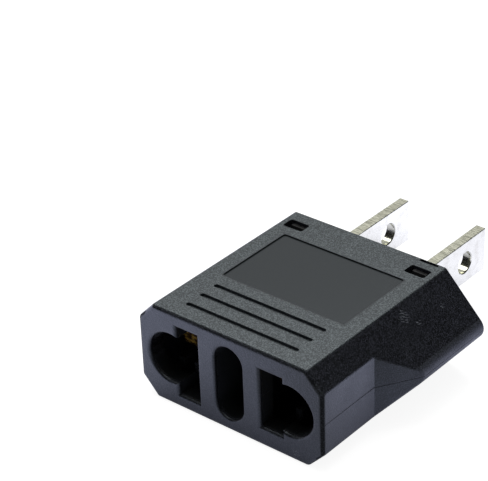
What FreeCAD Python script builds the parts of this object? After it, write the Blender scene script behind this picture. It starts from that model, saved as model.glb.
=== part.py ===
# Travel plug adapter: a snap-closed housing with two keyhole sockets and a middle slot, and two flat blades
# Millimetres. X runs across it, Y from the sockets to the blades, Z up from the broad face it lies on
import math
import os

import FreeCAD
import Part

V = FreeCAD.Vector

# Outside of the housing
broad_face_width = 24.3
ridge_to_ridge = 37.6
body_thickness = 14.0
body_length = 29.05
socket_face_width = 29.25
side_plane_length = 10.2
facet_apex_depth = 16.9
ridge_radius = 1.75
edge_radius = 0.6
end_edge_radius = 0.15

# Walls of the housing
wall = 1.5
side_wall = 1.3
front_wall = 2.6
rim_width = 1.2

# Socket openings: a round hole for a round pin, joined to a slot for a flat blade
round_pin_spacing = 19.0
round_hole_diameter = 7.0
slot_inner_reach = 4.95
slot_width = 3.4
tall_slot_to_face = 1.95
short_slot_to_face = 2.8
socket_edge_radius = 0.45

# Middle slot: a blind pocket for an earth pin that stands in line or to one side
middle_slot_width = 4.4
middle_slot_to_face = 1.75
middle_slot_edge_radius = 0.35
pocket_wall = 1.1
pocket_to_plate = 4.9

# Ribs on the floor of the housing that carry the plug's pins
rib_thickness = 1.0
pin_rib_spacing = 2.6
pin_rib_drop = 2.15
blade_rib_drop = 4.4

# Grip grooves across each broad face
groove_count = 3
groove_first = 2.9
groove_pitch = 2.67
groove_length = 17.7
groove_width = 0.7
groove_depth = 0.4

# Label recess in each broad face
label_width = 19.3
label_near = 10.75
label_to_end = 5.6
label_depth = 0.15
label_corner_radius = 0.4

# Snap windows, and behind each a recess that lets its hook pass the rim, with a slit through the rim beside
# the right ones only
window_to_side = 2.35
window_width = 3.1
window_length = 1.95
window_to_end = 1.97
window_corner_radius = 0.35
recess_width = 2.8
recess_depth = 0.35
slit_length = 0.5
slit_to_end = 0.15
slit_side = 1

# Blade plate and its hooks
plate_thickness = 1.6
plate_recess = 0.3
plate_clearance = 0.1
plate_notch_depth = 0.25
hook_width = 2.1
hook_thickness = 0.8
hook_below_face = 0.4
hook_flat = 0.6
hook_ramp = 0.8
hook_catch_clearance = 0.1
hook_wall_clearance = 0.1
hook_tongue = 1.9
pillar_width = 2.4
pillar_thickness = 1.7

# Blades: one folded strip each, wider inside the housing
blade_spacing = 12.7
blade_width = 6.35
blade_thickness = 1.5
blade_reach = 17.6
tip_crown = 0.85
tip_edge_thickness = 0.6
blade_edge_radius = 0.15
blade_hole_diameter = 3.1
blade_hole_to_tip = 5.6
blade_hole_chamfer = 0.12
blade_slot_clearance = 0.05
shoulder_to_wall = 1.3
shoulder_to_plate = 0.02
foot_to_plate = 4.9
foot_bend_radius = 0.6

# Contacts: one folded brass strip each, with a flap that a plug's pin lifts
contact_thickness = 0.5
contact_width = 5.6
contact_behind_slot = 0.05
contact_bridge_drop = 3.3
contact_ceiling_clearance = 0.25
contact_front_clearance = 0.2
contact_bend_radius = 0.6
hairpin_radius = 0.9
flap_slope = 70.0
crest_drop = 0.6
crest_radius = 1.1
tail_length = 6.0
tail_rise = 1.6

# Rivets
rivet_diameter = 1.4
rivet_head_diameter = 2.4
rivet_head_height = 0.5

# Helpers: how far a cut runs past a face, how far fused pieces run into each other, how near counts as the
# same place, what counts as parallel, and how much of an angle makes an edge sharp
beyond = 1.0
sunk = 0.1
same_place = 1e-6
parallel = math.cos(math.radians(8))
sharp_angle = math.radians(5)

# Values worked out from the sizes above
half_thickness = body_thickness / 2
half_ridge = ridge_to_ridge / 2
ceiling = half_thickness - wall
overall_length = body_length + blade_reach
chamfer_angle = math.atan2(half_thickness, (ridge_to_ridge - broad_face_width) / 2)
facet_angle = math.atan2((ridge_to_ridge - socket_face_width) / 2, facet_apex_depth - side_plane_length)
plate_outer_y = body_length - plate_recess
plate_inner_y = plate_outer_y - plate_thickness
window_x = broad_face_width / 2 - window_to_side
window_far_y = body_length - window_to_end
foot_back_y = plate_inner_y - foot_to_plate
foot_front_y = foot_back_y - blade_thickness
bridge_front_y = foot_front_y - contact_thickness
pocket_back_y = plate_inner_y - pocket_to_plate
middle_slot_height = body_thickness - 2 * middle_slot_to_face
half_shoulder = ceiling - shoulder_to_wall
contact_inner_reach = slot_inner_reach + contact_behind_slot
contact_outer_reach = contact_inner_reach + contact_width
blade_x = blade_spacing / 2
pin_x = round_pin_spacing / 2
rivet_x = (blade_x + blade_thickness / 2 + foot_bend_radius + contact_outer_reach) / 2
to_row_frame = V(0, -overall_length / 2, half_thickness)


def box(x0, x1, y0, y1, z0, z1):
    low = V(min(x0, x1), min(y0, y1), min(z0, z1))
    return Part.makeBox(abs(x1 - x0), abs(y1 - y0), abs(z1 - z0), low)


def prism(points, direction):
    wire = Part.makePolygon([V(*p) for p in points] + [V(*points[0])])
    return Part.Face(wire).extrude(V(*direction))


def rod(diameter, start, direction, length):
    return Part.makeCylinder(diameter / 2, length, V(*start), V(*direction))


def joined(first, *others):
    return first.multiFuse(list(others)).removeSplitter()


def obround(width, height, y0, y1):
    """A slot-shaped prism along Y, round at its top and bottom."""
    half = (height - width) / 2
    ends = [rod(width, (0, y0, z), (0, 1, 0), y1 - y0) for z in (half, -half)]
    return joined(box(-width / 2, width / 2, y0, y1, -half, half), *ends)


def hexagon_prism(inset, y0, y1):
    """The housing's six-sided section, moved inwards by the inset and drawn out along Y."""
    half = half_thickness - inset
    ridge = half_ridge - inset / math.sin(chamfer_angle)
    flat = ridge - half / math.tan(chamfer_angle)
    corners = [(flat, half), (ridge, 0), (flat, -half), (-flat, -half), (-ridge, 0), (-flat, half)]
    return prism([(x, y0, z) for x, z in corners], (0, y1 - y0, 0))


def plan_prism(inset, y0, y1):
    """The housing seen from above: straight sides by the sockets, then splayed out past the ridges."""
    half_width = socket_face_width / 2 - inset
    reach = half_ridge + beyond
    corner_y = side_plane_length + inset * math.tan(facet_angle / 2)
    splayed_y = corner_y + (reach - half_width) / math.tan(facet_angle)
    side = [(half_width, y0), (half_width, corner_y), (reach, splayed_y), (reach, y1)]
    corners = side + [(-x, y) for x, y in reversed(side)]
    bottom = -half_thickness - beyond
    return prism([(x, y, bottom) for x, y in corners], (0, 0, body_thickness + 2 * beyond))


def middle_of(edge):
    return edge.valueAt((edge.FirstParameter + edge.LastParameter) / 2)


def along(edge, axis):
    """How nearly an edge starts out along an axis, from 0 to 1."""
    return abs(edge.tangentAt(edge.FirstParameter).dot(axis))


def is_sharp(shape, edge):
    """True where the two faces beside an edge meet at an angle."""
    normals = []
    for face in shape.ancestorsOfType(edge, Part.Face):
        u, v = face.Surface.parameter(middle_of(edge))
        normals.append(face.normalAt(u, v))
    return len(normals) == 2 and normals[0].getAngle(normals[1]) > sharp_angle


def folded_strip(path, radii, thickness, place, width):
    """A strip of even thickness along a flat path, bent at each inner point to the given middle radius."""
    points = [V(u, v, 0) for u, v in path]
    ways = [(b - a).normalize() for a, b in zip(points, points[1:])]
    across = [V(-way.y, way.x, 0) for way in ways]
    edges = []
    for side in (thickness / 2, -thickness / 2):
        last = points[0] + across[0] * side
        for i, radius in enumerate(radii):
            half_turn = ways[i].getAngle(ways[i + 1]) / 2
            corner = points[i + 1]
            inward = (ways[i + 1] - ways[i]).normalize()
            centre = corner + inward * (radius / math.cos(half_turn))
            run = radius * math.tan(half_turn)
            bend_start = corner - ways[i] * run + across[i] * side
            bend_middle = centre - inward * radius + (across[i] + across[i + 1]).normalize() * side
            bend_end = corner + ways[i + 1] * run + across[i + 1] * side
            edges.append(Part.LineSegment(place(last), place(bend_start)).toShape())
            edges.append(Part.Arc(place(bend_start), place(bend_middle), place(bend_end)).toShape())
            last = bend_end
        edges.append(Part.LineSegment(place(last), place(points[-1] + across[-1] * side)).toShape())
    for point, normal in ((points[0], across[0]), (points[-1], across[-1])):
        ends = [place(point + normal * side) for side in (thickness / 2, -thickness / 2)]
        edges.append(Part.LineSegment(*ends).toShape())
    return Part.Face(Part.Wire(Part.__sortEdges__(edges))).extrude(width)


def socket_opening(side, slot_to_face):
    """The keyhole through the front wall: a round hole and a slot on its inner side."""
    hole = rod(round_hole_diameter, (side * pin_x, -beyond, 0), (0, 1, 0), front_wall + 2 * beyond)
    slot_outer = slot_inner_reach + slot_width
    half = half_thickness - slot_to_face
    slot = box(side * slot_inner_reach, side * slot_outer, -beyond, front_wall + beyond, -half, half)
    return joined(hole, slot)


def outer_body():
    """The outside of the moulding, with its ridges and edges rounded."""
    body = hexagon_prism(0, 0, body_length)
    ridges = []
    for edge in body.Edges:
        middle = middle_of(edge)
        if abs(middle.z) < same_place and abs(middle.x) > half_ridge - same_place:
            ridges.append(edge)
    body = body.makeFillet(ridge_radius, ridges)
    body = body.common(plan_prism(0, 0, body_length)).removeSplitter()
    before_end = [e for e in body.Edges if e.BoundBox.YMin < body_length - same_place]
    body = body.makeFillet(edge_radius, [e for e in before_end if is_sharp(body, e)])
    at_end = [e for e in body.Edges if e.BoundBox.YMin > body_length - same_place]
    return body.makeFillet(end_edge_radius, at_end)


def contact_ribs():
    """Floor ribs under each pole: two low cradles for a round pin and a lower one for a flat blade."""
    slot_middle = slot_inner_reach + slot_width / 2
    places = [(pin_x - pin_rib_spacing / 2, pin_rib_drop), (pin_x + pin_rib_spacing / 2, pin_rib_drop)]
    places.append((slot_middle, blade_rib_drop))
    ribs = []
    for side in (-1, 1):
        for x, drop in places:
            near, far = side * x - rib_thickness / 2, side * x + rib_thickness / 2
            ribs.append(box(near, far, front_wall - sunk, bridge_front_y, -ceiling - sunk, -drop))
    return ribs


def grooves(face_z, up):
    straight = (groove_length - groove_width) / 2
    bottom = min(face_z, face_z - up * groove_depth)
    top = bottom + groove_depth
    cuts = []
    for i in range(groove_count):
        y = groove_first + i * groove_pitch
        bar = box(-straight, straight, y - groove_width / 2, y + groove_width / 2, bottom, top)
        ends = [rod(groove_width, (x, y, bottom), (0, 0, 1), groove_depth) for x in (-straight, straight)]
        cuts.append(joined(bar, *ends))
    return cuts


def with_round_corners(block, radius):
    upright = [e for e in block.Edges if along(e, V(0, 0, 1)) > parallel]
    return block.makeFillet(radius, upright)


def face_cuts(up):
    """What is cut into one broad face: grooves, label recess, snap windows, their recesses and the slit."""
    face_z = up * half_thickness
    past_face = up * (half_thickness + beyond)
    rim_inside = half_thickness - rim_width
    cuts = grooves(face_z, up)
    label = box(-label_width / 2, label_width / 2, label_near, body_length - label_to_end,
                face_z - up * label_depth, past_face)
    cuts.append(with_round_corners(label, label_corner_radius))
    for side in (-1, 1):
        x = side * window_x
        window = box(x - window_width / 2, x + window_width / 2, window_far_y - window_length, window_far_y,
                     up * (ceiling - beyond), past_face)
        cuts.append(with_round_corners(window, window_corner_radius))
        low_x, high_x = x - recess_width / 2, x + recess_width / 2
        recess = box(low_x, high_x, plate_inner_y, body_length + beyond,
                     up * (rim_inside - beyond), up * (rim_inside + recess_depth))
        if side == slit_side:
            slit_end = body_length - slit_to_end
            slit = box(low_x, high_x, slit_end - slit_length, slit_end, up * rim_inside, past_face)
            recess = joined(recess, slit)
        cuts.append(recess)
    return cuts


def front_rims(body):
    """The edges of the openings in the socket face."""
    front = [f for f in body.Faces if f.BoundBox.YMax < same_place][0]
    return [e for w in front.Wires if not w.isSame(front.OuterWire) for e in w.Edges]


def in_list(edge, others):
    return any(middle_of(edge).isEqual(middle_of(other), same_place) for other in others)


def housing():
    body = outer_body()
    cavity = hexagon_prism(wall, front_wall, body_length + beyond)
    cavity = cavity.common(plan_prism(side_wall, front_wall, body_length + beyond))
    seat = hexagon_prism(rim_width, plate_inner_y, body_length + beyond)
    body = body.cut(cavity).cut(seat)
    pocket = obround(middle_slot_width + 2 * pocket_wall, middle_slot_height + 2 * pocket_wall,
                     front_wall - sunk, pocket_back_y)
    body = joined(body, pocket, *contact_ribs())
    body = body.cut(obround(middle_slot_width, middle_slot_height, -beyond, pocket_back_y - pocket_wall))
    body = body.makeFillet(middle_slot_edge_radius, front_rims(body))
    rounded = front_rims(body)
    body = body.cut(socket_opening(-1, tall_slot_to_face)).cut(socket_opening(1, short_slot_to_face))
    body = body.makeFillet(socket_edge_radius, [e for e in front_rims(body) if not in_list(e, rounded)])
    for up in (1, -1):
        body = body.cut(Part.makeCompound(face_cuts(up)))
    return body


def hook(side, up):
    """One snap hook: a tongue along the wall with a nose that stands in its window."""
    x = side * window_x
    top = ceiling - hook_wall_clearance
    nose = half_thickness - hook_below_face
    catch = window_far_y - hook_catch_clearance
    tip = plate_inner_y - hook_tongue
    root = plate_inner_y + sunk
    half = hook_thickness / 2
    outline = [(root, top), (catch, top), (catch, nose), (catch - hook_flat, nose),
               (catch - hook_flat - hook_ramp, top), (tip, top), (tip, top - half),
               (tip + half, top - hook_thickness), (root, top - hook_thickness)]
    return prism([(x - hook_width / 2, y, up * z) for y, z in outline], (hook_width, 0, 0))


def blade_plate():
    """The plate that closes the housing, with its hooks and the pillars that back the blades' feet."""
    plate = hexagon_prism(rim_width + plate_clearance, plate_inner_y, plate_outer_y)
    edge_z = half_thickness - rim_width - plate_clearance
    slot_x = blade_thickness / 2 + blade_slot_clearance
    slot_z = blade_width / 2 + blade_slot_clearance
    inner_y, outer_y = plate_inner_y - beyond, plate_outer_y + beyond
    pillar_inner = contact_outer_reach - pillar_width
    added = []
    for side in (-1, 1):
        x = side * blade_x
        plate = plate.cut(box(x - slot_x, x + slot_x, inner_y, outer_y, -slot_z, slot_z))
        notch_x = side * window_x
        for up in (-1, 1):
            plate = plate.cut(box(notch_x - recess_width / 2, notch_x + recess_width / 2, inner_y, outer_y,
                                  up * (edge_z - plate_notch_depth), up * half_thickness))
            added.append(hook(side, up))
            added.append(box(side * pillar_inner, side * contact_outer_reach,
                             foot_back_y, plate_inner_y + sunk,
                             up * (half_shoulder - pillar_thickness), up * half_shoulder))
    return joined(plate, *added)


def blade_profile(x):
    """The straight part of a blade, with its crowned tip."""
    half_width = blade_width / 2
    corner_y = overall_length - tip_crown
    root_y = plate_inner_y - blade_thickness / 2
    root_low, root_high = V(x, root_y, -half_width), V(x, root_y, half_width)
    low, high = V(x, corner_y, -half_width), V(x, corner_y, half_width)
    edges = [Part.LineSegment(root_low, low).toShape(),
             Part.Arc(low, V(x, overall_length, 0), high).toShape(),
             Part.LineSegment(high, root_high).toShape(),
             Part.LineSegment(root_high, root_low).toShape()]
    return Part.Face(Part.Wire(edges)).extrude(V(blade_thickness, 0, 0))


def tip_bevel(outer, edge, way):
    """What is coined away from one side of a blade's tip."""
    corner_y, past_tip = overall_length - tip_crown, overall_length + beyond
    away = outer + way * beyond
    corners = [(outer, corner_y), (edge, overall_length), (edge, past_tip), (away, past_tip)]
    corners.append((away, corner_y))
    return prism([(u, v, -blade_width) for u, v in corners], (0, 0, 2 * blade_width))


def blade(side):
    """One blade: the straight part with its coined tip and hole, the wider stub and the bent foot."""
    x = side * blade_x
    straight = blade_profile(x - blade_thickness / 2)
    long_edges = [e for e in straight.Edges if along(e, V(0, 1, 0)) > parallel]
    straight = straight.makeFillet(blade_edge_radius, long_edges)
    for way in (-1, 1):
        outer, edge = x + way * blade_thickness / 2, x + way * tip_edge_thickness / 2
        straight = straight.cut(tip_bevel(outer, edge, way))
    hole_start = (x - blade_thickness, overall_length - blade_hole_to_tip, 0)
    straight = straight.cut(rod(blade_hole_diameter, hole_start, (1, 0, 0), 2 * blade_thickness))
    circles = [e for e in straight.Edges if e.Curve.TypeId == "Part::GeomCircle"]
    rims = [e for e in circles if abs(e.Curve.Radius - blade_hole_diameter / 2) < same_place]
    straight = straight.makeChamfer(blade_hole_chamfer, rims)
    foot_y = foot_front_y + blade_thickness / 2
    bend = foot_bend_radius + blade_thickness / 2
    path = [(side * contact_outer_reach, foot_y), (x, foot_y), (x, plate_inner_y - shoulder_to_plate)]
    inner = folded_strip(path, [bend], blade_thickness, lambda p: V(p.x, p.y, -half_shoulder),
                         V(0, 0, 2 * half_shoulder))
    return joined(straight, inner).cut(rivet_shank(side))


def contact(side):
    """One contact: a bridge on the blade's foot, a leaf under the ceiling and a flap behind a socket."""
    half = contact_thickness / 2
    bridge_y = bridge_front_y + half
    leaf_z = ceiling - contact_ceiling_clearance - half
    slope = math.radians(flap_slope)
    hairpin = math.pi - slope
    front_y = front_wall + contact_front_clearance + half
    fold_y = front_y - hairpin_radius * (math.tan(hairpin / 2) - 1)
    crest_y = fold_y + (leaf_z + crest_drop) / math.tan(slope)
    path = [(bridge_y, -contact_bridge_drop), (bridge_y, leaf_z), (fold_y, leaf_z), (crest_y, -crest_drop),
            (crest_y + tail_length, tail_rise - crest_drop)]
    radii = [contact_bend_radius + half, hairpin_radius, crest_radius]
    low_x = min(side * contact_inner_reach, side * contact_outer_reach)
    strip = folded_strip(path, radii, contact_thickness, lambda p: V(low_x, p.x, p.y), V(contact_width, 0, 0))
    return strip.cut(rivet_shank(side))


def rivet_shank(side):
    length = blade_thickness + contact_thickness
    return rod(rivet_diameter, (side * rivet_x, bridge_front_y, 0), (0, 1, 0), length)


def rivet(side):
    """One rivet, its two domed heads closed on the contact's bridge and the blade's foot."""
    radius = rivet_head_diameter / 2
    dome_radius = (radius ** 2 + rivet_head_height ** 2) / (2 * rivet_head_height)
    x = side * rivet_x
    pieces = [rivet_shank(side)]
    for face_y, way in ((bridge_front_y, -1), (foot_back_y, 1)):
        dome = Part.makeSphere(dome_radius, V(x, face_y + way * (rivet_head_height - dome_radius), 0))
        span = box(x - radius, x + radius, face_y, face_y + way * rivet_head_height, -radius, radius)
        pieces.append(dome.common(span))
    return joined(*pieces)


def main():
    os.makedirs("parts", exist_ok=True)
    shapes = {"housing": housing(), "blade_plate": blade_plate()}
    for name, side in (("left", -1), ("right", 1)):
        shapes["blade_" + name] = blade(side)
        shapes["contact_" + name] = contact(side)
        shapes["rivet_" + name] = rivet(side)
    for name, shape in shapes.items():
        print(name, "solids", len(shape.Solids), "valid", shape.isValid(), "volume", round(shape.Volume, 2))
        shape.translate(to_row_frame)
        shape.exportStep(os.path.join("parts", name + ".step"))


main()
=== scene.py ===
import math

import bmesh
import bpy
from mathutils import Matrix, Vector


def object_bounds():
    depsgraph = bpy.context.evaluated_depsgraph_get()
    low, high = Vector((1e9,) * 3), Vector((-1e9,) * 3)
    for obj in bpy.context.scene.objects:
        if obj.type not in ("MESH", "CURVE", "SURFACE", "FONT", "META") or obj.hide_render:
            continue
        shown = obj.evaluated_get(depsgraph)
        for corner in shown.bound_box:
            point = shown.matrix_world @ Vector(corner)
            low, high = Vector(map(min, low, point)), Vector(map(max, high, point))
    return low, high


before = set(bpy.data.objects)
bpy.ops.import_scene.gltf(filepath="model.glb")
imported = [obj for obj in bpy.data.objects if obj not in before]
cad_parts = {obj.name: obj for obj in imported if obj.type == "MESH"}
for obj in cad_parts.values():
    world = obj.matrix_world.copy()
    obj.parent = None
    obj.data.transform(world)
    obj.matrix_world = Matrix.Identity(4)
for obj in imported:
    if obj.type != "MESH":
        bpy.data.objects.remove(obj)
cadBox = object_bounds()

# Travel plug adapter: the CAD solids carry the shape, and this script gives them finishes, light and camera.
# Sizes in the finishes are in millimetres, everything else is in metres
mm = 0.001


def hexToLinear(hexText):
    # a screen colour such as #949494, with the sRGB curve taken off
    parts = [int(hexText[i:i + 2], 16) / 255 for i in (1, 3, 5)]
    return tuple(p / 12.92 if p <= 0.04045 else ((p + 0.055) / 1.055) ** 2.4 for p in parts) + (1.0,)


def addNode(tree, kind, inputs=None, **settings):
    # inputs: socket name or number -> a value, an output socket, or a node, which gives its first output in use
    node = tree.nodes.new(kind)
    for name, value in settings.items():
        setattr(node, name, value)
    for name, value in (inputs or {}).items():
        if isinstance(value, bpy.types.Node):
            value = next(socket for socket in value.outputs if socket.enabled)
        if isinstance(value, bpy.types.NodeSocket):
            tree.links.new(value, node.inputs[name])
        else:
            node.inputs[name].default_value = value
    return node


def newMaterial(name):
    material = bpy.data.materials.new(name)
    material.use_nodes = True
    material.node_tree.nodes.clear()
    return material, material.node_tree


def inMillimetres(tree, stretch=(1, 1, 1)):
    # object coordinates in millimetres, drawn out where the stretch is over 1
    place = addNode(tree, "ShaderNodeTexCoord")
    scale = [1 / mm / s for s in stretch]
    return addNode(tree, "ShaderNodeMapping", {"Vector": place.outputs["Object"], "Scale": scale})


def insideBox(tree, low, high, blur):
    # 1 inside a box, fading to 0 over the blur outside it
    middle = [(a + b) / 2 for a, b in zip(low, high)]
    half = [(b - a) / 2 for a, b in zip(low, high)]
    centred = addNode(tree, "ShaderNodeVectorMath", {0: inMillimetres(tree), 1: middle}, operation="SUBTRACT")
    away = addNode(tree, "ShaderNodeVectorMath", {0: centred}, operation="ABSOLUTE")
    past = addNode(tree, "ShaderNodeVectorMath", {0: away, 1: half}, operation="SUBTRACT")
    sides = addNode(tree, "ShaderNodeSeparateXYZ", {"Vector": past})
    wider = addNode(tree, "ShaderNodeMath", {0: sides.outputs["X"], 1: sides.outputs["Y"]}, operation="MAXIMUM")
    furthest = addNode(tree, "ShaderNodeMath", {0: wider, 1: sides.outputs["Z"]}, operation="MAXIMUM")
    return addNode(tree, "ShaderNodeMapRange", {"Value": furthest, "From Max": blur, "To Min": 1.0,
                                                "To Max": 0.0}, interpolation_type="SMOOTHSTEP")


def paint(nodeName, material):
    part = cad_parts[nodeName]
    part.data.materials.clear()
    part.data.materials.append(material)


# Black ABS, injection moulded. The tool is spark-eroded for the broad faces, and that pebbled grain catches the
# light as fine specks, which are painted into the colour as pale peaks. It is stoned smooth elsewhere, which
# gives a soft satin sheen, and the mottle of that sheen is painted as paler specks
housingLook = {
    # where each finish lies: places, and how far a surface faces up, along a facet or round a corner
    "middleHeight": 7.0, "broadFrom": 6.2, "levelFrom": 0.8, "levelTo": 0.92,
    "labelLow": (-9.65, -12.575, 0.0), "labelHigh": (9.65, 0.125, 14.0), "labelBlur": 0.35,
    "hollowLow": (-12.6, -22.6, 1.45), "hollowHigh": (12.6, 5.3, 12.55), "hollowBlur": 0.3,
    "facetNormal": (0.849, 0.528, 0.0), "facetFrom": 0.97, "facetTo": 0.99, "ridgeX": 17.5,
    "cornerX": 13.4, "cornerY": -22.4, "cornerFrom": 0.2, "cornerTo": 0.4,
    # the pale peaks on the grain and the paler specks on the satin are painted sheen: they stand for light that
    # the surface catches
    "pit": "#030404", "grainGlint": "#535a5b", "panel": "#0e1213", "satin": "#070709", "satinGlint": "#303139",
    # the hollow inside is painted pure black, as painted shade
    "hollowShade": "#000000", "sheen": "#ebf7ff", "ior": 1.54, "specular": 0.72,
    "grainSize": 0.17, "grainDepth": 0.035, "grainDetail": 2.0, "specksFrom": 0.45, "specksTo": 0.62,
    "fineSize": 0.2, "fineDepth": 0.045, "flowSize": 2.4, "flowDepth": 0.006, "flowDetail": 4.0,
    "noiseRough": 0.6, "panelFlow": 3.0,
    "roughGrain": 0.45, "roughPanel": 0.27, "roughSatin": 0.32, "roughFacet": 0.55, "roughCorner": 1.0,
    "roughHollow": 1.0, "flowRough": 0.05, "flowFrom": 0.3, "flowTo": 0.7,
    "partingY": -22.9, "partingWidth": 0.09, "partingDepth": 0.05,
    "scuff": "#54575d", "scuffTurn": 35.0, "scuffWidth": 0.12, "scuffLength": 1.8,
    "scuffFrom": 0.5, "scuffTo": 0.56,
    # x, y, z and radius of the places that knocks have marked
    "knocks": ((13.4, -5.2, 12.7, 3.0), (14.6, 1.3, 11.4, 1.2), (14.5, -3.7, 11.6, 1.4),
               (10.4, -23.3, 1.3, 1.8), (-15.0, -6.0, 11.0, 2.4), (-17.0, 12.0, 4.6, 2.2),
               (5.5, 19.5, 14.0, 2.0), (-14.6, -18.0, 9.5, 1.8)),
}


def makeMouldedAbs():
    look = housingLook
    material, tree = newMaterial("mouldedAbs")
    place = inMillimetres(tree)
    axes = addNode(tree, "ShaderNodeSeparateXYZ", {"Vector": place})
    sideways = addNode(tree, "ShaderNodeMath", {0: axes.outputs["X"]}, operation="ABSOLUTE")
    above = addNode(tree, "ShaderNodeMath", {0: axes.outputs["Z"], 1: look["middleHeight"]},
                    operation="SUBTRACT")
    fromMiddle = addNode(tree, "ShaderNodeMath", {0: above}, operation="ABSOLUTE")
    outward = addNode(tree, "ShaderNodeTexCoord")
    slope = addNode(tree, "ShaderNodeVectorMath", {0: outward.outputs["Normal"]}, operation="ABSOLUTE")
    facing = addNode(tree, "ShaderNodeSeparateXYZ", {"Vector": slope})

    # grain on the broad faces, but not in the label recess
    level = addNode(tree, "ShaderNodeMapRange", {"Value": facing.outputs["Z"], "From Min": look["levelFrom"],
                                                 "From Max": look["levelTo"]}, interpolation_type="SMOOTHSTEP")
    outside = addNode(tree, "ShaderNodeMath", {0: fromMiddle, 1: look["broadFrom"]}, operation="GREATER_THAN")
    broad = addNode(tree, "ShaderNodeMath", {0: level, 1: outside}, operation="MULTIPLY")
    inLabel = insideBox(tree, look["labelLow"], look["labelHigh"], look["labelBlur"])
    offLabel = addNode(tree, "ShaderNodeMath", {0: 1.0, 1: inLabel}, operation="SUBTRACT")
    grainy = addNode(tree, "ShaderNodeMath", {0: broad, 1: offLabel}, operation="MULTIPLY")
    # painted shade: the hollow inside the housing is coloured pure black and made fully rough
    hollowShade = insideBox(tree, look["hollowLow"], look["hollowHigh"], look["hollowBlur"])

    # facets and ridges are rougher than the satin round them
    alongFacet = addNode(tree, "ShaderNodeVectorMath", {0: slope, 1: look["facetNormal"]},
                         operation="DOT_PRODUCT")
    facet = addNode(tree, "ShaderNodeMapRange", {"Value": alongFacet, "From Min": look["facetFrom"],
                                                 "From Max": look["facetTo"]}, interpolation_type="SMOOTHSTEP")
    ridge = addNode(tree, "ShaderNodeMath", {0: sideways, 1: look["ridgeX"]}, operation="GREATER_THAN")
    coarse = addNode(tree, "ShaderNodeMath", {0: facet, 1: ridge}, operation="MAXIMUM")

    # the upright corners beside the socket face are the roughest, and so the darkest
    turning = addNode(tree, "ShaderNodeMath", {0: facing.outputs["X"], 1: facing.outputs["Y"]},
                      operation="MULTIPLY")
    turning = addNode(tree, "ShaderNodeMapRange", {"Value": turning, "From Min": look["cornerFrom"],
                                                   "From Max": look["cornerTo"]},
                      interpolation_type="SMOOTHSTEP")
    atFace = addNode(tree, "ShaderNodeMath", {0: axes.outputs["Y"], 1: look["cornerY"]}, operation="LESS_THAN")
    atSide = addNode(tree, "ShaderNodeMath", {0: sideways, 1: look["cornerX"]}, operation="GREATER_THAN")
    corner = addNode(tree, "ShaderNodeMath", {0: atFace, 1: atSide}, operation="MULTIPLY")
    corner = addNode(tree, "ShaderNodeMath", {0: corner, 1: turning}, operation="MULTIPLY")

    # the real grain is about 0.1 mm; it is drawn nearly twice that, so that it shows in the render
    pebbles = addNode(tree, "ShaderNodeTexNoise", {"Vector": place, "Scale": 1 / look["grainSize"],
                                                   "Detail": look["grainDetail"],
                                                   "Roughness": look["noiseRough"]})
    glintSpecks = addNode(tree, "ShaderNodeMapRange", {"Value": pebbles, "From Min": look["specksFrom"],
                                                  "From Max": look["specksTo"]},
                     interpolation_type="SMOOTHSTEP")
    fine = addNode(tree, "ShaderNodeTexNoise", {"Vector": place, "Scale": 1 / look["fineSize"],
                                                "Detail": look["grainDetail"]})
    flow = addNode(tree, "ShaderNodeTexNoise", {"Vector": place, "Scale": 1 / look["flowSize"],
                                                "Detail": look["flowDetail"], "Roughness": look["noiseRough"]})

    # the fine line where the tool's halves meet, round the sides but not on the socket face
    onLine = addNode(tree, "ShaderNodeMapRange", {"Value": fromMiddle, "From Max": look["partingWidth"],
                                                  "To Min": 1.0, "To Max": 0.0},
                     interpolation_type="SMOOTHSTEP")
    behindFace = addNode(tree, "ShaderNodeMath", {0: axes.outputs["Y"], 1: look["partingY"]},
                         operation="GREATER_THAN")
    parting = addNode(tree, "ShaderNodeMath", {0: onLine, 1: behindFace}, operation="MULTIPLY")

    # short scuffs, thick in the middle of each knocked place and none beyond its radius
    turned = addNode(tree, "ShaderNodeMapping", {"Vector": place,
                                                 "Rotation": [math.radians(look["scuffTurn"])] * 3})
    thin, long = 1 / look["scuffWidth"], 1 / look["scuffLength"]
    drawnOut = addNode(tree, "ShaderNodeMapping", {"Vector": turned, "Scale": (thin, long, thin)})
    scuffs = addNode(tree, "ShaderNodeTexNoise", {"Vector": drawnOut, "Scale": 1.0, "Detail": 0.0})
    knocked = 0.0
    for x, y, z, radius in look["knocks"]:
        away = addNode(tree, "ShaderNodeVectorMath", {0: place, 1: (x, y, z)}, operation="DISTANCE")
        near = addNode(tree, "ShaderNodeMapRange", {"Value": away, "From Max": radius, "To Min": 1.0,
                                                    "To Max": 0.0}, interpolation_type="SMOOTHSTEP")
        knocked = addNode(tree, "ShaderNodeMath", {0: knocked, 1: near}, operation="MAXIMUM")
    scuffed = addNode(tree, "ShaderNodeMath", {0: scuffs, 1: knocked}, operation="MULTIPLY")
    scuffed = addNode(tree, "ShaderNodeMapRange", {"Value": scuffed, "From Min": look["scuffFrom"],
                                                   "From Max": look["scuffTo"]},
                      interpolation_type="SMOOTHSTEP")

    # colours, each laid over the last (a Mix node's colours are its inputs 6 and 7)
    # the pale specks laid on the grain and on the satin are painted sheen
    grainColour = addNode(tree, "ShaderNodeMix", {"Factor": glintSpecks, 6: hexToLinear(look["pit"]),
                                                  7: hexToLinear(look["grainGlint"])}, data_type="RGBA")
    colour = addNode(tree, "ShaderNodeMix", {"Factor": glintSpecks, 6: hexToLinear(look["satin"]),
                                             7: hexToLinear(look["satinGlint"])}, data_type="RGBA")
    for where, over in ((inLabel, hexToLinear(look["panel"])), (grainy, grainColour),
                        (scuffed, hexToLinear(look["scuff"])), (parting, hexToLinear(look["pit"])),
                        (hollowShade, hexToLinear(look["hollowShade"]))):
        colour = addNode(tree, "ShaderNodeMix", {"Factor": where, 6: colour, 7: over}, data_type="RGBA")

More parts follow.
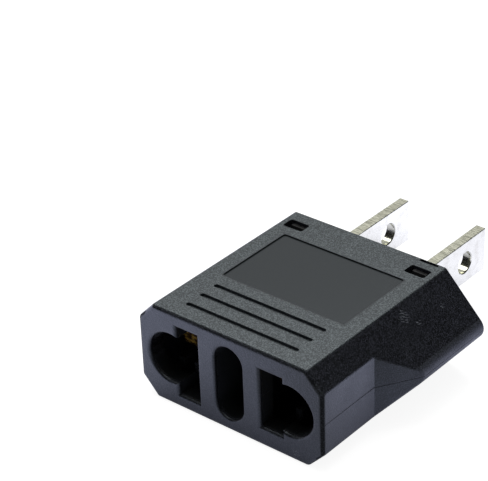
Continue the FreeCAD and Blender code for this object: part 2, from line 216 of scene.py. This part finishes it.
    # roughness likewise (its numbers are inputs 2 and 3)
    uneven = addNode(tree, "ShaderNodeMapRange", {"Value": flow, "From Min": look["flowFrom"],
                                                  "From Max": look["flowTo"], "To Min": -look["flowRough"],
                                                  "To Max": look["flowRough"]})
    rough = addNode(tree, "ShaderNodeMix", {"Factor": coarse, 2: look["roughSatin"], 3: look["roughFacet"]})
    rough = addNode(tree, "ShaderNodeMath", {0: rough, 1: uneven}, operation="ADD")
    for where, over in ((inLabel, look["roughPanel"]), (grainy, look["roughGrain"]),
                        (corner, look["roughCorner"]), (hollowShade, look["roughHollow"])):
        rough = addNode(tree, "ShaderNodeMix", {"Factor": where, 2: rough, 3: over})

    # heights add up in metres, and the bump's distance of 1 keeps them so
    waves = addNode(tree, "ShaderNodeMix", {"Factor": inLabel, 2: 1.0, 3: look["panelFlow"]})
    rise = 0.0
    for pattern, where, depth in ((pebbles, grainy, look["grainDepth"]), (fine, offLabel, look["fineDepth"]),
                                  (flow, waves, look["flowDepth"]), (parting, 1.0, -look["partingDepth"])):
        raised = addNode(tree, "ShaderNodeMath", {0: pattern, 1: where}, operation="MULTIPLY")
        rise = addNode(tree, "ShaderNodeMath", {0: raised, 1: depth * mm, 2: rise}, operation="MULTIPLY_ADD")
    bump = addNode(tree, "ShaderNodeBump", {"Height": rise, "Distance": 1.0})

    shader = addNode(tree, "ShaderNodeBsdfPrincipled", {
        "Base Color": colour, "Roughness": rough, "Normal": bump, "IOR": look["ior"],
        "Specular IOR Level": look["specular"], "Specular Tint": hexToLinear(look["sheen"])})
    addNode(tree, "ShaderNodeOutputMaterial", {"Surface": shader})
    return material


# The same black ABS, all satin: the plate and its hooks come from a smooth tool, so they shine evenly
# and softly
plateLook = {
    "colour": "#060607", "ior": 1.54, "rough": 0.3, "flowRough": 0.07, "flowFrom": 0.3, "flowTo": 0.7,
    "flowSize": 1.2, "flowDepth": 0.006, "flowDetail": 4.0, "noiseRough": 0.6,
}


def makeSatinAbs():
    look = plateLook
    material, tree = newMaterial("satinAbs")
    flow = addNode(tree, "ShaderNodeTexNoise", {"Vector": inMillimetres(tree), "Scale": 1 / look["flowSize"],
                                                "Detail": look["flowDetail"], "Roughness": look["noiseRough"]})
    rough = addNode(tree, "ShaderNodeMapRange", {"Value": flow, "From Min": look["flowFrom"],
                                                 "From Max": look["flowTo"],
                                                 "To Min": look["rough"] - look["flowRough"],
                                                 "To Max": look["rough"] + look["flowRough"]})
    bump = addNode(tree, "ShaderNodeBump", {"Height": flow, "Distance": look["flowDepth"] * mm})
    shader = addNode(tree, "ShaderNodeBsdfPrincipled", {
        "Base Color": hexToLinear(look["colour"]), "Roughness": rough, "Normal": bump, "IOR": look["ior"]})
    addNode(tree, "ShaderNodeOutputMaterial", {"Surface": shader})
    return material


# Nickel plate on stamped and barrel-tumbled brass: a bright, slightly warm metal with fine marks along the
# blade. Its sheared long edges are duller and keep the strokes of the die across them
bladeLook = {
    "clean": "#d8d8c6", "dull": "#c3c2b0", "dullFrom": 0.45, "dullTo": 0.75, "sheared": "#a3a494",
    "rough": 0.16, "roughEdge": 0.44, "roughSpread": 0.08, "spreadFrom": 0.3, "spreadTo": 0.7,
    "markWidth": 0.12, "markLength": 3.0, "markDepth": 0.003, "markDetail": 3.0,
    "patchSize": 1.4, "patchDetail": 5.0, "patchRough": 0.65,
    "pitSize": 0.3, "pitDepth": 0.006, "pitDetail": 2.0,
    "middleHeight": 7.0, "edgeFrom": 3.0, "edgeTo": 3.1,
    "strokeWidth": 0.16, "strokeLength": 1.5, "strokeDetail": 1.0, "strokeFrom": 0.42, "strokeTo": 0.66,
}


def makeNickelPlate():
    look = bladeLook
    material, tree = newMaterial("nickelPlatedBrass")
    place = inMillimetres(tree)
    alongBlade = inMillimetres(tree, (look["markWidth"], look["markLength"], look["markWidth"]))
    marks = addNode(tree, "ShaderNodeTexNoise", {"Vector": alongBlade, "Scale": 1.0,
                                                 "Detail": look["markDetail"]})
    patches = addNode(tree, "ShaderNodeTexNoise", {"Vector": place, "Scale": 1 / look["patchSize"],
                                                   "Detail": look["patchDetail"],
                                                   "Roughness": look["patchRough"]})
    pits = addNode(tree, "ShaderNodeTexNoise", {"Vector": place, "Scale": 1 / look["pitSize"],
                                                "Detail": look["pitDetail"]})

    axes = addNode(tree, "ShaderNodeSeparateXYZ", {"Vector": place})
    above = addNode(tree, "ShaderNodeMath", {0: axes.outputs["Z"], 1: look["middleHeight"]},
                    operation="SUBTRACT")
    fromMiddle = addNode(tree, "ShaderNodeMath", {0: above}, operation="ABSOLUTE")
    edge = addNode(tree, "ShaderNodeMapRange", {"Value": fromMiddle, "From Min": look["edgeFrom"],
                                                "From Max": look["edgeTo"]})
    acrossEdge = inMillimetres(tree, (look["strokeLength"], look["strokeWidth"], look["strokeLength"]))
    strokes = addNode(tree, "ShaderNodeTexNoise", {"Vector": acrossEdge, "Scale": 1.0,
                                                   "Detail": look["strokeDetail"]})
    strokes = addNode(tree, "ShaderNodeMapRange", {"Value": strokes, "From Min": look["strokeFrom"],
                                                   "From Max": look["strokeTo"]},
                      interpolation_type="SMOOTHSTEP")
    strokes = addNode(tree, "ShaderNodeMath", {0: strokes, 1: edge}, operation="MULTIPLY")

    dull = addNode(tree, "ShaderNodeMapRange", {"Value": patches, "From Min": look["dullFrom"],
                                                "From Max": look["dullTo"]}, interpolation_type="SMOOTHSTEP")
    colour = addNode(tree, "ShaderNodeMix", {"Factor": dull, 6: hexToLinear(look["clean"]),
                                             7: hexToLinear(look["dull"])}, data_type="RGBA")
    colour = addNode(tree, "ShaderNodeMix", {"Factor": strokes, 6: colour, 7: hexToLinear(look["sheared"])},
                     data_type="RGBA")

    rough = addNode(tree, "ShaderNodeMix", {"Factor": edge, 2: look["rough"], 3: look["roughEdge"]})
    spread = addNode(tree, "ShaderNodeMapRange", {"Value": marks, "From Min": look["spreadFrom"],
                                                  "From Max": look["spreadTo"], "To Min": -look["roughSpread"],
                                                  "To Max": look["roughSpread"]})
    rough = addNode(tree, "ShaderNodeMath", {0: rough, 1: spread}, operation="ADD")

    rise = addNode(tree, "ShaderNodeMath", {0: marks, 1: look["markDepth"] * mm}, operation="MULTIPLY")
    rise = addNode(tree, "ShaderNodeMath", {0: pits, 1: look["pitDepth"] * mm, 2: rise},
                   operation="MULTIPLY_ADD")
    bump = addNode(tree, "ShaderNodeBump", {"Height": rise, "Distance": 1.0})
    shader = addNode(tree, "ShaderNodeBsdfPrincipled", {
        "Base Color": colour, "Roughness": rough, "Normal": bump, "Metallic": 1.0})
    addNode(tree, "ShaderNodeOutputMaterial", {"Surface": shader})
    return material


# Bare rolled brass strip: warm yellow, tarnished dark brown in patches, with faint rolling lines along it
brassLook = {
    "clean": "#efc75f", "tarnish": "#4a2b10", "tarnishFrom": 0.38, "tarnishTo": 0.58,
    "patchSize": 0.7, "patchDetail": 5.0, "patchRough": 0.6,
    "rough": 0.38, "roughSpread": 0.1, "spreadFrom": 0.3, "spreadTo": 0.7,
    "lineWidth": 0.1, "lineLength": 4.0, "lineDepth": 0.002, "lineDetail": 3.0,
}


def makeRolledBrass():
    look = brassLook
    material, tree = newMaterial("rolledBrass")
    alongStrip = inMillimetres(tree, (look["lineWidth"], look["lineLength"], look["lineLength"]))
    lines = addNode(tree, "ShaderNodeTexNoise", {"Vector": alongStrip, "Scale": 1.0,
                                                 "Detail": look["lineDetail"]})
    patches = addNode(tree, "ShaderNodeTexNoise", {"Vector": inMillimetres(tree),
                                                   "Scale": 1 / look["patchSize"],
                                                   "Detail": look["patchDetail"],
                                                   "Roughness": look["patchRough"]})
    tarnish = addNode(tree, "ShaderNodeMapRange", {"Value": patches, "From Min": look["tarnishFrom"],
                                                   "From Max": look["tarnishTo"]},
                      interpolation_type="SMOOTHSTEP")
    colour = addNode(tree, "ShaderNodeMix", {"Factor": tarnish, 6: hexToLinear(look["clean"]),
                                             7: hexToLinear(look["tarnish"])}, data_type="RGBA")
    rough = addNode(tree, "ShaderNodeMapRange", {"Value": lines, "From Min": look["spreadFrom"],
                                                 "From Max": look["spreadTo"],
                                                 "To Min": look["rough"] - look["roughSpread"],
                                                 "To Max": look["rough"] + look["roughSpread"]})
    bump = addNode(tree, "ShaderNodeBump", {"Height": lines, "Distance": look["lineDepth"] * mm})
    shader = addNode(tree, "ShaderNodeBsdfPrincipled", {
        "Base Color": colour, "Roughness": rough, "Normal": bump, "Metallic": 1.0})
    addNode(tree, "ShaderNodeOutputMaterial", {"Surface": shader})
    return material


mouldedAbs = makeMouldedAbs()
satinAbs = makeSatinAbs()
nickelPlate = makeNickelPlate()
rolledBrass = makeRolledBrass()
paint("housing", mouldedAbs)
paint("blade_plate", satinAbs)
for side in ("left", "right"):
    paint("blade_" + side, nickelPlate)
    paint("contact_" + side, rolledBrass)
    paint("rivet_" + side, rolledBrass)
print("finishes on the solids")

# White table. It glows white to the camera and still takes the object's shadow. In reflections it glows too,
# with painted shade: less near the object, as a painted shadow, and not at all out to the front right. Towards
# the back right that glow rises as a painted band of light, then falls a little
tableLook = {
    "size": 3.0, "colour": "#949494", "glow": 0.9, "mirrorTint": "#dfe0ff", "mirrorGlow": 1.35,
    "shadeReach": 0.03, "shadePower": 2.2, "shadeSamples": 8, "turn": 45.0,
    "dimFrom": 0.018, "dimTo": 0.04, "liftFrom": -0.03, "liftTo": 0.015, "lift": 1.4,
    "farFrom": 0.024, "farTo": 0.036, "far": 0.78,
}


def makeTable():
    look = tableLook
    mesh = bpy.data.meshes.new("table")
    work = bmesh.new()
    bmesh.ops.create_grid(work, x_segments=1, y_segments=1, size=look["size"] / 2)
    work.to_mesh(mesh)
    work.free()
    table = bpy.data.objects.new("table", mesh)
    bpy.context.scene.collection.objects.link(table)

    material, tree = newMaterial("whiteTable")
    ray = addNode(tree, "ShaderNodeLightPath")
    mirrored = addNode(tree, "ShaderNodeMath", {0: ray.outputs["Is Glossy Ray"],
                                                1: ray.outputs["Is Transmission Ray"]}, operation="MAXIMUM")
    # painted shadow: ambient occlusion darkens the reflected glow close to the object
    unshaded = addNode(tree, "ShaderNodeAmbientOcclusion", {"Distance": look["shadeReach"]},
                       samples=look["shadeSamples"])
    unshaded = addNode(tree, "ShaderNodeMath", {0: unshaded.outputs["AO"], 1: look["shadePower"]},
                       operation="POWER")
    place = addNode(tree, "ShaderNodeTexCoord")
    turned = addNode(tree, "ShaderNodeMapping", {"Vector": place.outputs["Object"],
                                                 "Rotation": (0, 0, math.radians(look["turn"]))})
    turned = addNode(tree, "ShaderNodeSeparateXYZ", {"Vector": turned})
    # painted light and shade: the reflected glow is dimmed to the front right and raised in a band to the back
    # right
    dimmed = addNode(tree, "ShaderNodeMapRange", {"Value": turned.outputs["X"], "From Min": look["dimFrom"],
                                                  "From Max": look["dimTo"], "To Min": 1.0, "To Max": 0.0},
                     interpolation_type="SMOOTHSTEP")
    lifted = addNode(tree, "ShaderNodeMapRange", {"Value": turned.outputs["Y"], "From Min": look["liftFrom"],
                                                  "From Max": look["liftTo"], "To Min": 1.0,
                                                  "To Max": look["lift"]}, interpolation_type="SMOOTHSTEP")
    beyond = addNode(tree, "ShaderNodeMapRange", {"Value": turned.outputs["Y"], "From Min": look["farFrom"],
                                                  "From Max": look["farTo"], "To Min": 1.0,
                                                  "To Max": look["far"]}, interpolation_type="SMOOTHSTEP")
    for share in (unshaded, dimmed, lifted, beyond, look["mirrorGlow"]):
        mirrored = addNode(tree, "ShaderNodeMath", {0: mirrored, 1: share}, operation="MULTIPLY")
    seen = addNode(tree, "ShaderNodeMath", {0: ray.outputs["Is Camera Ray"], 1: look["glow"]},
                   operation="MULTIPLY")

    surface = addNode(tree, "ShaderNodeBsdfDiffuse", {"Color": hexToLinear(look["colour"])})
    for glow in (addNode(tree, "ShaderNodeEmission", {"Strength": seen}),
                 addNode(tree, "ShaderNodeEmission", {"Color": hexToLinear(look["mirrorTint"]),
                                                      "Strength": mirrored})):
        surface = addNode(tree, "ShaderNodeAddShader", {0: surface, 1: glow})
    addNode(tree, "ShaderNodeOutputMaterial", {"Surface": surface})
    mesh.materials.append(material)


# White to the camera. Mirrored, it is a pale wall behind on the left that dims to the other sides
worldLook = {
    "white": (1, 1, 1, 1), "fill": 0.3, "brightSide": (-0.75, 0.55, 0.30),
    "wallFrom": 0.3, "wallTo": 0.85, "bright": 0.5, "dark": 0.02,
}


def makeWorld():
    look = worldLook
    world = bpy.data.worlds.new("studio")
    world.use_nodes = True
    bpy.context.scene.world = world
    tree = world.node_tree
    tree.nodes.clear()
    ray = addNode(tree, "ShaderNodeLightPath")
    way = addNode(tree, "ShaderNodeTexCoord")
    brightSide = Vector(look["brightSide"]).normalized()
    toBright = addNode(tree, "ShaderNodeVectorMath", {0: way.outputs["Generated"], 1: brightSide},
                       operation="DOT_PRODUCT")
    mirrored = addNode(tree, "ShaderNodeMapRange", {"Value": toBright, "From Min": look["wallFrom"],
                                                    "From Max": look["wallTo"], "To Min": look["dark"],
                                                    "To Max": look["bright"]}, interpolation_type="SMOOTHSTEP")
    fill = addNode(tree, "ShaderNodeBackground", {"Color": look["white"], "Strength": look["fill"]})
    wall = addNode(tree, "ShaderNodeBackground", {"Color": look["white"], "Strength": mirrored})
    backdrop = addNode(tree, "ShaderNodeBackground", {"Color": look["white"], "Strength": 1.0})
    light = addNode(tree, "ShaderNodeMixShader", {0: ray.outputs["Is Glossy Ray"], 1: fill, 2: wall})
    light = addNode(tree, "ShaderNodeMixShader", {0: ray.outputs["Is Camera Ray"], 1: light, 2: backdrop})
    addNode(tree, "ShaderNodeOutputWorld", {"Surface": light})


# place is from the object's middle, in metres; power in watts
lampLook = {
    "nearSoftbox": {"place": (-0.03, 0.02, 0.15), "size": 0.14, "power": 0.165},
    "topSoftbox": {"place": (0.0, 0.1, 1.0), "size": 1.0, "power": 1.8},
}


def makeLamps():
    middle = (cadBox[0] + cadBox[1]) / 2
    for name, lamp in lampLook.items():
        data = bpy.data.lights.new(name, "AREA")
        data.energy = lamp["power"]
        data.size = lamp["size"]
        light = bpy.data.objects.new(name, data)
        bpy.context.scene.collection.objects.link(light)
        light.location = middle + Vector(lamp["place"])
        light.rotation_euler = (-Vector(lamp["place"])).to_track_quat("-Z", "Y").to_euler()


# The photograph's camera, solved from the housing's corners and the blades; lens and sensor in millimetres
cameraLook = {"place": (0.128814, -0.168882, 0.141832), "turn": 40.739, "rise": 30.490, "roll": -2.177,
              "lens": 142.0, "sensor": 36.0, "nearest": 0.01, "furthest": 10.0}


def makeCamera():
    look = cameraLook
    data = bpy.data.cameras.new("camera")
    data.sensor_fit = "HORIZONTAL"
    data.sensor_width = look["sensor"]
    data.lens = look["lens"]
    data.clip_start, data.clip_end = look["nearest"], look["furthest"]
    camera = bpy.data.objects.new("camera", data)
    bpy.context.scene.collection.objects.link(camera)
    turn, rise, roll = (math.radians(look[key]) for key in ("turn", "rise", "roll"))
    camera.matrix_world = (Matrix.Translation(look["place"]) @ Matrix.Rotation(turn, 4, "Z")
                           @ Matrix.Rotation(math.pi / 2 - rise, 4, "X") @ Matrix.Rotation(roll, 4, "Z"))
    bpy.context.scene.camera = camera


makeTable()
makeWorld()
makeLamps()
makeCamera()
bpy.context.scene.view_settings.view_transform = "Standard"
print("table, light and camera")
